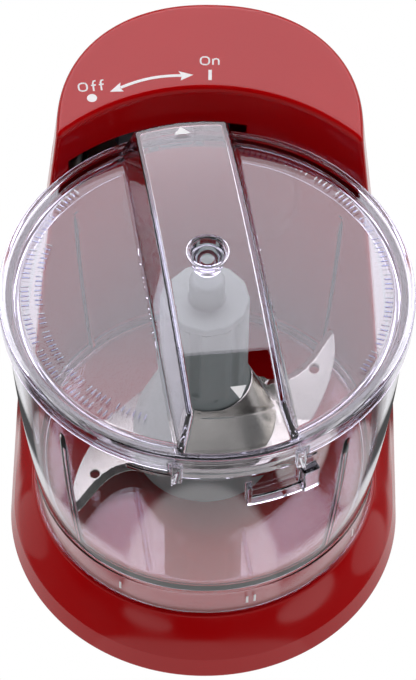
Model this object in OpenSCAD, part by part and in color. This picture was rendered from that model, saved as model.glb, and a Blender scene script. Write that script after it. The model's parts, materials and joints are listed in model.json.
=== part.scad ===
// Compact food processor: a low base with a rear tower that holds the motor and its belt drive,
// a clear bowl on the base, a two-bladed knife on a tall hub, and a clear lid whose raised grip
// is turned between Off and On.
// Millimetres. +Z is up, the tower stands at +Y and the front of the bowl faces -Y. The origin is
// the centre of the bounding box on the table. Inside on_axis() the origin is the bowl's own axis.

/* [Base and tower] */
// Radius of the rounded front of the base, and half the width of its straight sides
base_r = 71; // [69:0.5:74]
// Distance from the bowl's axis to the rearmost point of the base
base_back = 120; // [118:1:126]
// Height of the ring that the bowl stands on
deck_z = 28; // [27:0.5:29]
// Height of the tower at the front edge of its top
tower_z = 154.5; // [150:0.5:160]
// Half the width of the tower at its top
tower_half = 52.5; // [50:0.5:56]
// Distance from the bowl's axis to the back of the tower at its top
tower_back = 111; // [110:1:114]
// Slope of the tower's top, down towards the bowl, in degrees
tower_slope = 3; // [0:0.5:5]
// Radius of the hollow in the tower that the bowl stands in
bay_r = 72.5; // [72.4:0.1:72.8]
// Wall thickness of the red shell
shell_t = 2.5; // [2:0.1:2.6]

/* [Bowl] */
// Outer radius of the bowl at its floor
bowl_r_low = 61; // [60.9:0.1:61.5]
// Outer radius of the bowl at its rim
bowl_r_top = 67.8; // [67:0.1:67.9]
// Height of the underside of the bowl's floor
floor_z = 42; // [42:0.5:43]
// Wall thickness of the bowl
bowl_t = 2.2; // [2:0.1:2.3]

/* [Lid] */
// Outer radius of the lid
lid_r = 70; // [69.8:0.1:70.1]
// Height of the lid's flat top
lid_z = 136.3; // [135:0.1:138]
// Thickness of the lid
lid_t = 2; // [1.6:0.1:2.2]
// Height of the middle of the arched grip
grip_z = 157.3; // [154:0.1:160]
// Angle of the grip at rest, part of the way from On to Off, in degrees
grip_rest = 9.8; // [9:0.1:11]

/* [Knife] */
// Radius of the corners of the many-sided hub
hub_r = 14.6; // [14:0.1:16]
// Height of the hub's top face
hub_z = 131; // [130:0.5:132]
// Radius of the circle that the blade tips sweep
tip_r = 55; // [52:0.5:56]

/* [Drive] */
// Outer radius of the motor's pulley
small_r = 7; // [6:0.1:8]
// Outer radius of the driven pulley under the bowl
large_r = 22.5; // [20:0.1:23]
// Distance from the bowl's axis to the motor's axis
motor_y = 94; // [93.8:0.1:94.2]

/* [Hidden] */
$fn = 96;
eps = 0.01;
fit = 0.03;
// The bowl's axis lies in front of the middle of the bounding box
axis_y = -(base_back - base_r) / 2;

// Base and tower
foot_h = 1.5;
plate_z = [2.4, 5];
crease_z = 10.2;
crease_r = base_r - 1.7;
deck_edge_r = 61.9;
drum_r = 58.9;
drum_z = floor_z - 2;
section_back = 58;
plan_y = 59;
plan_power = 2 / 2.2;
slot_z = [125.5, 138.5];
slot_from = -10;
slot_to = 42;
post_r = 3.8;
post_xy = [[46, -30], [-46, -30], [58, 70], [-58, 70], [13, 113.4], [-13, 113.4]];
screw_r = 1.5;
gland_x = 42;
gland_z = 17;
gland_y = [97, 110.5];
gland_r = 6;
gland_bore = 3.4;
clamp_places = [[gland_x - 8.5, 88], [gland_x + 8.5, 88]];
foot_xy = [[41, -41], [-41, -41], [42, 88], [-42, 88]];
foot_r = 7;

// Bowl and lid
seat_gap = 0.3;
rim_z = lid_z - lid_t - seat_gap;
floor_t = 2.5;
tube_r = 8.6;
tube_bore = 6.4;
tube_z = 100;
rib_top = 117;
skirt_z = 128.4;
skirt_in = lid_r - 1.65;
tab_z = 119;
tab_half = 17;
lug_r = 72.1;
lug_half = 4.5;
grip_half = 16;
grip_foot_half = 20;
grip_r = 62;
grip_foot_r = 68;
grip_end_z = grip_z - 7;
grip_t = 2;
cup_bore = 6.5;

// Knife
hub_low_z = 46.5;
hub_skirt_r = 25.4;
hub_bore = 9.25;
hub_top_z = hub_z - 3;
socket_z = [103, 124];
neck_r = 6;
neck_z = 141.6;
blade_t = 1.6;
blade_low_z = 49.5;
blade_high_z = 61;
hex_r = 5.6;

// Drive
belt_z = [9.2, 18.2];
belt_t = 1.6;
shaft_r = 4;
spindle_z = [7, 106];
coupling_z = [98, 118];
bush_r = 7.5;
motor_r = 17.9;
motor_z = [26, 76];
motor_shaft_r = 1.6;
bracket_xy = [[24, 11], [-24, 11], [24, -11], [-24, -11]];
bracket_t = 2;

board_places = [[-58, 22], [-34, 22], [-58, 58], [-34, 58]];

// Interlock, in degrees anticlockwise from +Y
switch_at = 13.5;
slider_half = 15;
slider_r = 75.4;
plunger_r = 78.6;
plunger_per_degree = 1.2 / 27;
slider_z = [127, 137];

// Everything drawn about the bowl's own axis
module on_axis() {
    translate([0, axis_y, 0])
        children();
}

module tube(r_out, r_in, z0, z1) {
    translate([0, 0, z0])
        difference() {
            cylinder(r = r_out, h = z1 - z0);
            translate([0, 0, -1])
                cylinder(r = r_in, h = z1 - z0 + 2);
        }
}

module rod(r, z0, z1) {
    translate([0, 0, z0])
        cylinder(r = r, h = z1 - z0);
}

module block(low, high) {
    translate(low)
        cube(high - low);
}

// Prism over a wedge of a circle, its angles counted anticlockwise from +Y
module wedge(r, from, to, z0, z1) {
    steps = 6;
    translate([0, 0, z0])
        linear_extrude(z1 - z0)
            polygon(concat([[0, 0]], [for (i = [0 : steps])
                let (a = from + (to - from) * i / steps) [-r * sin(a), r * cos(a)]]));
}

// Part of a tube between two angles
module arc_wall(r_out, r_in, from, to, z0, z1) {
    intersection() {
        tube(r_out, r_in, z0, z1);
        wedge(r_out * 1.2, from, to, z0 - 1, z1 + 1);
    }
}

// A countersunk screw pointing up, its head face at z0
module screw(r, head_r, z0, z1) {
    translate([0, 0, z0])
        difference() {
            union() {
                cylinder(r = head_r, h = 1.6);
                cylinder(r = r, h = z1 - z0);
            }
            translate([-head_r * 0.6, -0.3, -1])
                cube([head_r * 1.2, 0.6, 1.7]);
            translate([-0.3, -head_r * 0.6, -1])
                cube([0.6, head_r * 1.2, 1.7]);
        }
}

module at_each(places) {
    for (p = places)
        translate([p[0], p[1], 0])
            children();
}

// Plan of the tower: straight sides and a back shaped as a superellipse
function tower_plan(half, back, front) = concat(
    [[half, front], [half, plan_y]],
    [for (a = [10 : 10 : 170])
        [half * sign(cos(a)) * pow(abs(cos(a)), plan_power),
         plan_y + (back - plan_y) * pow(sin(a), plan_power)]],
    [[-half, plan_y], [-half, front]]
);

// Solid body of the tower, from the crease of the base to its sloping top
module tower_solid(inset) {
    low_back = base_back - 1.4;
    edge = 2;
    hull() {
        translate([0, 0, crease_z])
            linear_extrude(eps)
                polygon(tower_plan(crease_r - inset, low_back - inset, 6));
        translate([0, bay_r, tower_z - inset])
            rotate([tower_slope, 0, 0])
                translate([0, -bay_r, 0]) {
                    translate([0, 0, -edge])
                        linear_extrude(eps)
                            polygon(tower_plan(tower_half - inset, tower_back - inset, 44));
                    linear_extrude(eps)
                        polygon(tower_plan(tower_half - edge - inset,
                                           tower_back - edge - inset, 46));
                }
    }
}

// Half profile of the low base: a bottom band, a sloping upper face and the deck
function base_profile(inset) = [
    [base_r - inset, foot_h], [crease_r - inset, crease_z],
    [(crease_r + deck_edge_r) / 2 + 0.3 - inset, (crease_z + deck_z) / 2],
    [deck_edge_r - inset, deck_z - inset]
];

module base_solid(inset) {
    half = base_profile(inset);
    count = len(half);
    rotate_extrude($fn = 144)
        polygon(concat([[0, foot_h]], half, [[0, deck_z - inset]]));
    translate([0, section_back, 0])
        rotate([90, 0, 0])
            linear_extrude(section_back)
                polygon(concat(half, [for (i = [1 : count])
                    [-half[count - i][0], half[count - i][1]]]));
    hull()
        for (level = [0, 1])
            translate([0, 0, [foot_h, crease_z][level]])
                linear_extrude(eps)
                    polygon(tower_plan(half[level][0], base_back - 1.4 * level - inset, 30));
}

// Space inside the shell, open at the bottom and reaching up into the drum
module shell_cavity() {
    base_solid(shell_t);
    translate([0, 0, foot_h - 1])
        linear_extrude(2)
            polygon(tower_plan(base_r - 1.2 - shell_t, base_back - shell_t, 0));
    rod(base_r - shell_t, foot_h - 1, foot_h + 1);
    rod(drum_r - shell_t, 15, drum_z - shell_t);
    difference() {
        tower_solid(shell_t);
        rod(bay_r + shell_t, deck_z - shell_t, tower_z + 10);
    }
}

// Red shell: base, deck, drum and tower in one moulding, open below
module housing() {
    color("crimson")
        on_axis()
            difference() {
                union() {
                    difference() {
                        union() {
                            base_solid(0);
                            difference() {
                                tower_solid(0);
                                rod(bay_r, deck_z, tower_z + 10);
                            }
                            rod(drum_r, deck_z - 1, drum_z);
                        }
                        shell_cavity();
                    }
                    at_each(post_xy)
                        rod(post_r, 7, 27);
                    for (s = [-1, 1])
                        block([s * 61.5 - 4.5, 69, 7], [s * 61.5 + 4.5, 71, 27]);
                    gland_boss();
                }
                at_each(post_xy)
                    rod(screw_r + fit, 6, 20);
                rod(12.3, drum_z - 10, drum_z + 1);
                spindle_screw_places()
                    rod(1.3 + fit, 30, drum_z - 0.8);
                wedge(bay_r + 10, slot_from, slot_to, slot_z[0], slot_z[1]);
                translate([gland_x, gland_y[0] - 8, gland_z])
                    rotate([-90, 0, 0])
                        cylinder(r = gland_r + fit, h = 30);
                translate([gland_x, gland_y[1] - 1.6, gland_z])
                    rotate([-90, 0, 0])
                        cylinder(r = 8.3, h = 20);
            }
}

module gland_boss() {
    intersection() {
        translate([gland_x, gland_y[0], gland_z])
            rotate([-90, 0, 0])
                cylinder(r = 9, h = gland_y[1] - gland_y[0] - 1.6);
        block([0, 60, crease_z - 4], [60, 130, 60]);
    }
}

module spindle_screw_places() {
    for (a = [30, 150, 270])
        rotate([0, 0, a])
            translate([17.5, 0, 0])
                children();
}

// Closing plate with screw holes, sockets for the feet, vents and pillars for the motor bracket
module bottom_plate() {
    gap = 1.7;
    color("dimgray")
        on_axis()
            difference() {
                union() {
                    translate([0, 0, plate_z[0]])
                        linear_extrude(plate_z[1] - plate_z[0])
                            union() {
                                circle(r = base_r - shell_t - gap, $fn = 144);
                                polygon(tower_plan(base_r - 1.2 - shell_t - gap,
                                                   base_back - shell_t - gap, 0));
                            }
                    translate([0, motor_y, 0])
                        at_each(bracket_xy)
                            rod(3.6, 4, motor_z[0] - bracket_t - 1);
                    at_each(board_places)
                        rod(2.6, 4, 8);
                    at_each(clamp_places)
                        rod(3.2, 4, gland_z - 1.5);
                }
                at_each(post_xy) {
                    rod(screw_r + 0.3, 0, 10);
                    rod(3.3, 0, plate_z[0] + 1.3);
                }
                at_each(foot_xy)
                    rod(foot_r + 0.2, 0, plate_z[0] + 1.2);
                translate([0, motor_y, 0])
                    at_each(bracket_xy)
                        rod(1.3 + fit, 8, 30);
                at_each(board_places)
                    rod(1 + fit, 4.5, 12);
                at_each(clamp_places)
                    rod(1.2 + fit, 8, 20);
                for (i = [-3 : 3])
                    block([-14, 64 + i * 5, 0], [14, 66.4 + i * 5, 10]);
            }
}

module feet() {
    color([0.12, 0.12, 0.13])
        on_axis()
            at_each(foot_xy)
                rod(foot_r, 0, plate_z[0] + 1.2);
}

module case_screws() {
    color("silver")
        on_axis()
            at_each(post_xy)
                screw(screw_r, 3, plate_z[0] - 0.4, 18);
}

// Rubber bush that the supply lead would pass through
module cord_gland() {
    color([0.1, 0.1, 0.1])
        on_axis()
            translate([gland_x, gland_y[0], gland_z])
                rotate([-90, 0, 0])
                    difference() {
                        union() {
                            translate([0, 0, -1])
                                cylinder(r = gland_r, h = gland_y[1] - gland_y[0] - 0.5);
                            translate([0, 0, gland_y[1] - gland_y[0] - 1.55])
                                cylinder(r = 8, h = 1.5);
                            translate([0, 0, -1.9])
                                cylinder(r = 7.6, h = 1.85);
                        }
                        translate([0, 0, -5])
                            cylinder(r = gland_bore, h = 30);
                    }
}

module cord_clamp() {
    color([0.2, 0.2, 0.2])
        on_axis()
            difference() {
                block([gland_x - 11.3, 84, gland_z - 1.4], [gland_x + 12, 92, gland_z + 6.5]);
                translate([gland_x, 80, gland_z])
                    rotate([-90, 0, 0])
                        cylinder(r = gland_bore, h = 16);
                block([gland_x - 3, 80, gland_z - 3], [gland_x + 3, 96, gland_z]);
                at_each(clamp_places)
                    rod(1.5, gland_z - 5, gland_z + 10);
            }
}

module clamp_screws() {
    color("silver")
        on_axis()
            at_each(clamp_places)
                translate([0, 0, gland_z + 8.1])
                    mirror([0, 0, 1])
                        screw(1.2, 2.6, 0, 16);
}

// Steel cup of the motor with its bearing boss at the bottom
module motor_can() {
    color("silver")
        on_axis()
            translate([0, motor_y, 0])
                difference() {
                    union() {
                        rod(motor_r, motor_z[0], motor_z[1]);
                        rod(6.5, motor_z[0] - 3.5, motor_z[0] + 1);
                    }
                    rod(motor_r - 1.5, motor_z[0] + 1.6, motor_z[1] + 1);
                    rod(4 + fit, 10, 40);
                    at_each([[12.5, 0], [-12.5, 0]])
                        rod(1.3 + fit, 20, 30);
                    for (s = [-1, 1])
                        translate([s * 11, 0, 0])
                            block([-2.5, 8, 32], [2.5, 40, 40]);
                }
}

module motor_magnets() {
    color("dimgray")
        on_axis()
            translate([0, motor_y, 0])
                for (a = [90, 270])
                    arc_wall(motor_r - 1.5 - fit, 13.6, a - 62, a + 62, 38, 68);
}

// Plastic cap that carries the upper bush and the brushes
module motor_end_bell() {
    color("black")
        on_axis()
            translate([0, motor_y, 0])
                difference() {
                    union() {
                        tube(motor_r - 1.55, 10.5, 72.5, motor_z[1]);
                        rod(motor_r - 0.4, motor_z[1], motor_z[1] + 2.5);
                        rod(6.5, motor_z[1] + 1, motor_z[1] + 5.5);
                    }
                    rod(4 + fit, motor_z[1] - 2, motor_z[1] + 4.4);
                    rod(2.2, motor_z[1], motor_z[1] + 10);
                    for (s = [-1, 1])
                        block([s * 9 - 1.6, -0.45, 70], [s * 9 + 1.6, 0.45, 90]);
                }
}

// Carbon brushes with their terminal blades
module motor_brushes() {
    color([0.72, 0.6, 0.35])
        on_axis()
            translate([0, motor_y, 0])
                for (s = [-1, 1]) {
                    block([min(s * 4.7, s * 10), -1.6, 69.2], [max(s * 4.7, s * 10), 1.6, 72.4]);
                    block([s * 9 - 1.5, -0.4, 72], [s * 9 + 1.5, 0.4, 84]);
                }
}

module motor_bushes() {
    color("goldenrod")
        on_axis()
            translate([0, motor_y, 0]) {
                tube(4, motor_shaft_r + fit, motor_z[0] - 3.4, motor_z[0] + 1.4);
                tube(4, motor_shaft_r + fit, motor_z[1] - 0.6, motor_z[1] + 4.2);
            }
}

// Pressed plate under the motor, hung on four rubber grommets
module motor_bracket() {
    top = motor_z[0] - fit;
    color("lightslategray")
        on_axis()
            translate([0, motor_y, 0])
                difference() {
                    union() {
                        rod(motor_r, top - bracket_t, top);
                        block([-28.3, -15, top - bracket_t], [28.3, 15, top]);
                    }
                    rod(6.6, 0, 60);
                    at_each([[12.5, 0], [-12.5, 0]])
                        rod(1.7, 0, 60);
                    at_each(bracket_xy)
                        rod(3, 0, 60);
                }
}

module motor_screws() {
    color("silver")
        on_axis()
            translate([0, motor_y, 0])
                at_each([[12.5, 0], [-12.5, 0]])
                    screw(1.3, 2.6, motor_z[0] - bracket_t - 1.65, motor_z[0] + 1.4);
}

module bracket_grommets() {
    low = motor_z[0] - bracket_t - 1;
    color([0.15, 0.15, 0.15])
        on_axis()
            translate([0, motor_y, 0])
                at_each(bracket_xy)
                    difference() {
                        union() {
                            rod(2.95, low, low + 4);
                            rod(4.6, low + fit, low + 0.9);
                            rod(4.6, low + 3.1, low + 4);
                        }
                        rod(1.6, low - 1, low + 5);
                    }
}

module bracket_screws() {
    top = motor_z[0] - bracket_t + 4.7;
    color("silver")
        on_axis()
            translate([0, motor_y, 0])
                at_each(bracket_xy)
                    translate([0, 0, top])
                        mirror([0, 0, 1])
                            screw(1.3, 3, 0, 16);
}

// Laminated iron with five poles
module armature_core() {
    color("gray")
        on_axis()
            translate([0, motor_y, 0])
                difference() {
                    rod(13, 41, 65);
                    rod(motor_shaft_r + 0.01, 30, 80);
                    for (a = [0 : 72 : 288])
                        rotate([0, 0, a]) {
                            translate([8.6, 0, 0])
                                rod(2.9, 30, 80);
                            block([9, -0.9, 30], [15, 0.9, 80]);
                        }
                }
}

module armature_windings() {
    color("peru")
        on_axis()
            translate([0, motor_y, 0]) {
                tube(11, 3, 36, 40.9);
                tube(11, 3, 65.1, 68);
                for (a = [0 : 72 : 288])
                    rotate([0, 0, a])
                        translate([8.6, 0, 0])
                            rod(2.2, 40.5, 65.5);
            }
}

module commutator() {
    color("orange")
        on_axis()
            translate([0, motor_y, 0])
                difference() {
                    rod(4.5, 68.2, 73.5);
                    rod(motor_shaft_r + 0.01, 60, 80);
                    for (a = [0 : 36 : 324])
                        rotate([0, 0, a])
                            block([3.6, -0.2, 60], [6, 0.2, 80]);
                }
}

module motor_shaft() {
    color("silver")
        on_axis()
            translate([0, motor_y, 0])
                rod(motor_shaft_r, 8, motor_z[1] + 4.3);
}

// Half section of a ribbed belt pulley between two flanges
function pulley_profile(r, bore) = let (mid = (belt_z[0] + belt_z[1]) / 2) concat(
    [[bore, belt_z[0] - 1], [r + 1.4, belt_z[0] - 1], [r + 1.4, belt_z[0] - 0.2],
     [r, belt_z[0] - 0.2]],
    [for (i = [0 : 8]) [r - (i % 2) * 0.9, mid + (i - 4) * 1.05]],
    [[r, belt_z[1] + 0.2], [r + 1.4, belt_z[1] + 0.2], [r + 1.4, belt_z[1] + 0.8],
     [bore, belt_z[1] + 0.8]]
);

module motor_pulley() {
    color("gainsboro")
        on_axis()
            translate([0, motor_y, 0])
                rotate_extrude()
                    polygon(pulley_profile(small_r, motor_shaft_r + 0.01));
}

// Plan of the belt loop: two circles joined by their outer tangents
module belt_plan(grow) {
    r1 = large_r + grow;
    r2 = small_r + grow;
    lean = asin((r1 - r2) / motor_y);
    union() {
        circle(r = r1);
        translate([0, motor_y])
            circle(r = r2);
        polygon([
            [r1 * cos(lean), r1 * sin(lean)], [r2 * cos(lean), motor_y + r2 * sin(lean)],
            [-r2 * cos(lean), motor_y + r2 * sin(lean)], [-r1 * cos(lean), r1 * sin(lean)]
        ]);
    }
}

module drive_belt() {
    color([0.08, 0.08, 0.08])
        on_axis()
            translate([0, 0, belt_z[0]])
                linear_extrude(belt_z[1] - belt_z[0])
                    difference() {
                        belt_plan(0.15 + belt_t);
                        belt_plan(0.15);
                    }
}

module driven_pulley() {
    color("gainsboro")
        on_axis()
            difference() {
                rotate_extrude()
                    polygon(pulley_profile(large_r, shaft_r + 0.01));
                for (a = [0 : 60 : 300])
                    rotate([0, 0, a])
                        translate([13, 0, 0])
                            rod(4.2, 0, 30);
            }
}

module spindle_shaft() {
    color("silver")
        on_axis()
            difference() {
                rod(shaft_r, spindle_z[0], spindle_z[1]);
                tube(shaft_r + 1, shaft_r - 0.5, 20.4, 21.3);
            }
}

// Flanged bearing housing hung under the middle of the drum
module spindle_housing() {
    color("darkgray")
        on_axis()
            difference() {
                union() {
                    rod(12, 22.4, 41);
                    rod(23, 34.4, drum_z - shell_t - fit);
                    for (a = [90, 210, 330])
                        rotate([0, 0, a])
                            block([10, -1.2, 26], [21, 1.2, 35]);
                }
                rod(bush_r + fit, 20, 50);
                spindle_screw_places()
                    rod(1.7, 30, 50);
            }
}

module spindle_bushes() {
    color("goldenrod")
        on_axis() {
            tube(bush_r, shaft_r + fit, 22.5, 29);
            tube(bush_r, shaft_r + fit, 32, 38.4);
        }
}

module spindle_washer() {
    color("gainsboro")
        on_axis()
            tube(7, shaft_r + 0.05, 21.4, 22.3);
}

module spindle_circlip() {
    color("dimgray")
        on_axis()
            difference() {
                tube(5.6, shaft_r - 0.45, 20.45, 21.25);
                block([-1.2, 0, 15], [1.2, 8, 25]);
            }
}

module spindle_seal() {
    color([0.15, 0.15, 0.15])
        on_axis()
            rotate_extrude()
                polygon([[shaft_r + 0.05, 38.6], [7.4, 38.6], [7.4, 41], [6.2, 41],
                         [6.2, 39.6], [5, 39.6], [shaft_r + 0.05, 41.2]]);
}

module spindle_screws() {
    color("silver")
        on_axis()
            spindle_screw_places()
                screw(1.3, 2.6, 32.7, drum_z - 0.9);
}

// Six-sided driver on top of the spindle
module drive_coupling() {
    color("whitesmoke")
        on_axis()
            difference() {
                translate([0, 0, coupling_z[0]])
                    cylinder(r = hex_r, h = coupling_z[1] - coupling_z[0], $fn = 6);
                rod(shaft_r + 0.01, coupling_z[0] - 1, spindle_z[1] + 0.05);
            }
}

// Radius of the slider's cam face at an angle from the slider's middle
function cam_r(a) = plunger_r - 0.15 + plunger_per_degree * (a - switch_at + grip_rest);

// Curved slider behind the slot: two fingers take the lid's lug between them
module interlock_slider() {
    finger_gap = lug_half + 0.6;
    color([0.16, 0.16, 0.17])
        on_axis()
            rotate([0, 0, grip_rest])
                union() {
                    difference() {
                        translate([0, 0, slider_z[0]])
                            linear_extrude(slider_z[1] - slider_z[0])
                                polygon(concat([[0, 0]],
                                    [for (a = [-slider_half : 2.5 : slider_half])
                                        [-cam_r(a) * sin(a), cam_r(a) * cos(a)]]));
                        rod(slider_r, 100, 160);
                    }
                    for (s = [-1, 1])
                        arc_wall(slider_r + 0.8, 71.1, s * (finger_gap + 1.4) - 1.4,
                                 s * (finger_gap + 1.4) + 1.4, slider_z[0] + 1, slider_z[1] - 1);
                }
}

module at_switch() {
    on_axis()
        rotate([0, 0, switch_at])
            children();
}

// Snap switch that the slider's cam works through the plunger
module microswitch() {
    color("black")
        at_switch()
            difference() {
                union() {
                    block([-10, 81, 128.8], [10, 91, 135.2]);
                    for (x = [-7, 0, 7])
                        block([x - 1.5, 90, 131.6], [x + 1.5, 95, 132.3]);
                }
                block([-1.5, 80, 130.5], [1.5, 84, 133.5]);
                for (x = [-4.8, 4.8])
                    translate([x, 87.5, 0])
                        rod(1.2 + fit, 120, 140);
            }
}

module switch_plunger() {
    color("firebrick")
        at_switch()
            intersection() {
                block([-1.3, plunger_r, 130.7], [1.3, 83, 133.3]);
                translate([0, plunger_r + 3.2, 0])
                    rod(3.2, 120, 140);
            }
}

module switch_screws() {
    color("silver")
        at_switch()
            for (x = [-4.8, 4.8])
                translate([x, 87.5, 0])
                    screw(1.2, 2.3, 127.1, 142);
}

module control_board() {
    color("darkgreen")
        on_axis()
            difference() {
                block([-62, 18, 8.05], [-30, 62, 9.6]);
                at_each(board_places)
                    rod(1.2, 0, 20);
            }
}

// Rectifier, capacitor, fuse and terminal block
module board_parts() {
    color([0.2, 0.22, 0.3])
        on_axis() {
            block([-53, 27, 9.65], [-39, 31, 18]);
            block([-55, 35, 9.65], [-38, 44, 20]);
            block([-54, 48, 9.65], [-38, 56, 17]);
            translate([-33, 40, 0])
                rod(2.4, 9.65, 19);
            translate([-59, 40, 0])
                rod(2.4, 9.65, 19);
        }
}

module board_screws() {
    color("silver")
        on_axis()
            at_each(board_places)
                translate([0, 0, 11.3])
                    mirror([0, 0, 1])
                        screw(1, 1.9, 0, 6.5);
}

// Insulated leads from the board to the brushes and the switch
module lead(points) {
    for (i = [0 : len(points) - 2])
        hull() {
            translate(points[i])
                sphere(r = 1, $fn = 8);
            translate(points[i + 1])
                sphere(r = 1, $fn = 8);
        }
}

module wiring() {
    color([0.15, 0.25, 0.5])
        on_axis() {
            lead([[-46, 52, 18.1], [-46, 78, 30], [-28, 88, 84], [-9, motor_y, 85.4]]);
            lead([[-42, 52, 18.1], [-40, 76, 28], [-24, 87, 92], [9, motor_y, 85.4]]);
            lead([[-50, 52, 18.1], [-52, 74, 40], [-44, 82, 110], [-29.6, 93.4, 132]]);
        }
}

// Outer radius of the bowl's wall at a height: it flares quickly, then stands almost upright
function bowl_r(z) = let (t = (z - floor_z) / (rim_z - floor_z))
    bowl_r_low + (bowl_r_top - bowl_r_low) * (1 - pow(1 - t, 1.8));

bowl_steps = 9;
function bowl_level(i) = floor_z + (rim_z - floor_z) * i / bowl_steps;

// Clear bowl with a centre tube, four ribs, a locking ledge and a catch at the front
module bowl() {
    skirt_low = deck_z + seat_gap;
    color([0.85, 0.88, 0.92, 0.4])
        on_axis()
            difference() {
                union() {
                    rotate_extrude($fn = 144)
                        polygon(concat(
                            [[drum_r + seat_gap, floor_z], [drum_r + seat_gap, skirt_low],
                             [bowl_r_low + 0.2, skirt_low], [bowl_r_low, floor_z - 1]],
                            [for (i = [0 : bowl_steps]) [bowl_r(bowl_level(i)), bowl_level(i)]],
                            [for (i = [bowl_steps : -1 : 1])
                                [bowl_r(bowl_level(i)) - bowl_t, bowl_level(i)]],
                            [[bowl_r(floor_z + 6) - bowl_t, floor_z + floor_t + 3],
                             [bowl_r_low - bowl_t - 2, floor_z + floor_t],
                             [tube_r, floor_z + floor_t], [tube_r - 0.6, tube_z],
                             [tube_bore, tube_z], [tube_bore, floor_z]]));
                    for (a = [45 : 90 : 315])
                        rotate([0, 0, a])
                            bowl_rib();
                    arc_wall(skirt_in - 0.25, 66, 180 - 22, 180 + 33, 121.6, 123.4);
                    arc_wall(lid_r, 66, 180 + 12, 180 + 13.2, 108, 118.4);
                    arc_wall(lid_r, 66, 180 + 12, 180 + 30, 108, 109.4);
                    arc_wall(lid_r + 0.6, 66, 180 + 28, 180 + 33, 107.5, 118.4);
                }
                for (a = [-28, 15, 60, 180])
                    rotate([0, 0, a])
                        block([-0.5, -drum_r - 2.4, 33], [0.5, -drum_r, 37]);
            }
}

// Rib up the inside of the wall, its back edge in the middle of the wall
module bowl_rib() {
    low = floor_z + 1.2;
    proud = 1.3;
    steps = 8;
    rotate([90, 0, 0])
        translate([0, 0, -0.9])
            linear_extrude(1.8)
                polygon(concat(
                    [for (i = [0 : steps]) let (z = low + (rib_top - low) * i / steps)
                        [bowl_r(z) - bowl_t / 2, z]],
                    [for (i = [steps : -1 : 0]) let (z = low + (rib_top - low) * i / steps)
                        [bowl_r(z) - bowl_t - proud * (i == steps ? 0 : 1), z]]));
}

// Plan of one sickle-shaped blade with its ring around the hub's bore
module blade_plan() {
    difference() {
        union() {
            circle(r = 17);
            intersection() {
                polygon([
                    [-8, 23.5], [-13.6, 22.8], [-19, 20.6], [-24, 16.6], [-29, 11.6], [-34, 6.2],
                    [-38, 0.6], [-41.2, -6], [-43.8, -12.8], [-45.4, -19.6], [-45.9, -26],
                    [-45.2, -31.6], [-43.6, -32.6], [-41.4, -29.8], [-39.4, -26.4], [-36.8, -22.4],
                    [-33.8, -18.8], [-30.4, -16.2], [-26.6, -14.9], [-22.6, -15], [-10, -18],
                    [-6, 0]
                ]);
                circle(r = tip_r);
            }
        }
        circle(r = hub_bore + 0.6);
        translate([-38.5, -17.2])
            circle(r = 1.7);
    }
}

module blade(z, turn) {
    translate([0, 0, z])
        rotate([0, 0, turn])
            linear_extrude(blade_t)
                blade_plan();
}

// Frosted hub: flared skirt, many-sided column and vertical flutes
module blade_hub() {
    color([0.75, 0.8, 0.78, 0.8])
        on_axis()
            difference() {
                union() {
                    rotate_extrude()
                        polygon([
                            [0, hub_low_z], [hub_skirt_r - 0.6, hub_low_z],
                            [hub_skirt_r, hub_low_z + 0.6], [hub_skirt_r, 58],
                            [hub_skirt_r - 0.8, 61.5], [21.8, 69.5], [18.3, 78.5], [15.6, 86.5],
                            [14, 90], [0, 90]
                        ]);
                    translate([0, 0, 60])
                        cylinder(r = hub_r, h = hub_top_z - 60, $fn = 12);
                }
                rod(hub_bore, hub_low_z - 1, hub_top_z + 1);
                for (a = [15 : 60 : 315])
                    rotate([0, 0, a])
                        translate([hub_r + 0.4, 0, 0])
                            rod(2.1, 92, hub_top_z + 1);
                blade(blade_low_z, 0);
                blade(blade_high_z, 180);
            }
}

// Cap of the hub with the neck that turns in the lid
module hub_cap() {
    color([0.78, 0.83, 0.81, 0.9])
        on_axis()
            union() {
                translate([0, 0, hub_top_z + fit])
                    cylinder(r = hub_r, h = hub_z - hub_top_z - fit, $fn = 12);
                rod(hub_bore - fit, socket_z[1] + 0.5, hub_top_z + 1);
                rod(neck_r, hub_z - 1, neck_z - 2);
                translate([0, 0, neck_z - 2])
                    cylinder(r1 = neck_r, r2 = 3.4, h = 2);
            }
}

// Liner of the hub with the six-sided socket that the driver turns
module hub_drive_insert() {
    color([0.6, 0.64, 0.64])
        on_axis()
            difference() {
                rod(hub_bore - fit, socket_z[0], socket_z[1]);
                translate([0, 0, socket_z[0] - 1])
                    cylinder(r = hex_r + 0.25, h = 18, $fn = 6);
            }
}

module blade_lower() {
    color("gainsboro")
        on_axis()
            blade(blade_low_z, 0);
}

module blade_upper() {
    color("gainsboro")
        on_axis()
            blade(blade_high_z, 180);
}

// Outline of the grip at a height between its foot and its arched top
module grip_solid(inset, low) {
    hull() {
        translate([0, 0, low])
            linear_extrude(eps)
                intersection() {
                    circle(r = grip_foot_r - inset, $fn = 64);
                    square([2 * (grip_foot_half - inset), 200], center = true);
                }
        for (x = [-1, -0.5, 0, 0.5, 1])
            for (v = [-1, -0.75, -0.5, -0.25, 0, 0.25, 0.5, 0.75, 1])
                let (w = x * (grip_half - inset),
                     reach = sqrt(pow(grip_r - inset, 2) - w * w))
                    translate([w, v * reach,
                               grip_z - inset - (grip_z - grip_end_z) * v * v - eps])
                        cube(eps, center = true);
    }
}

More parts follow.
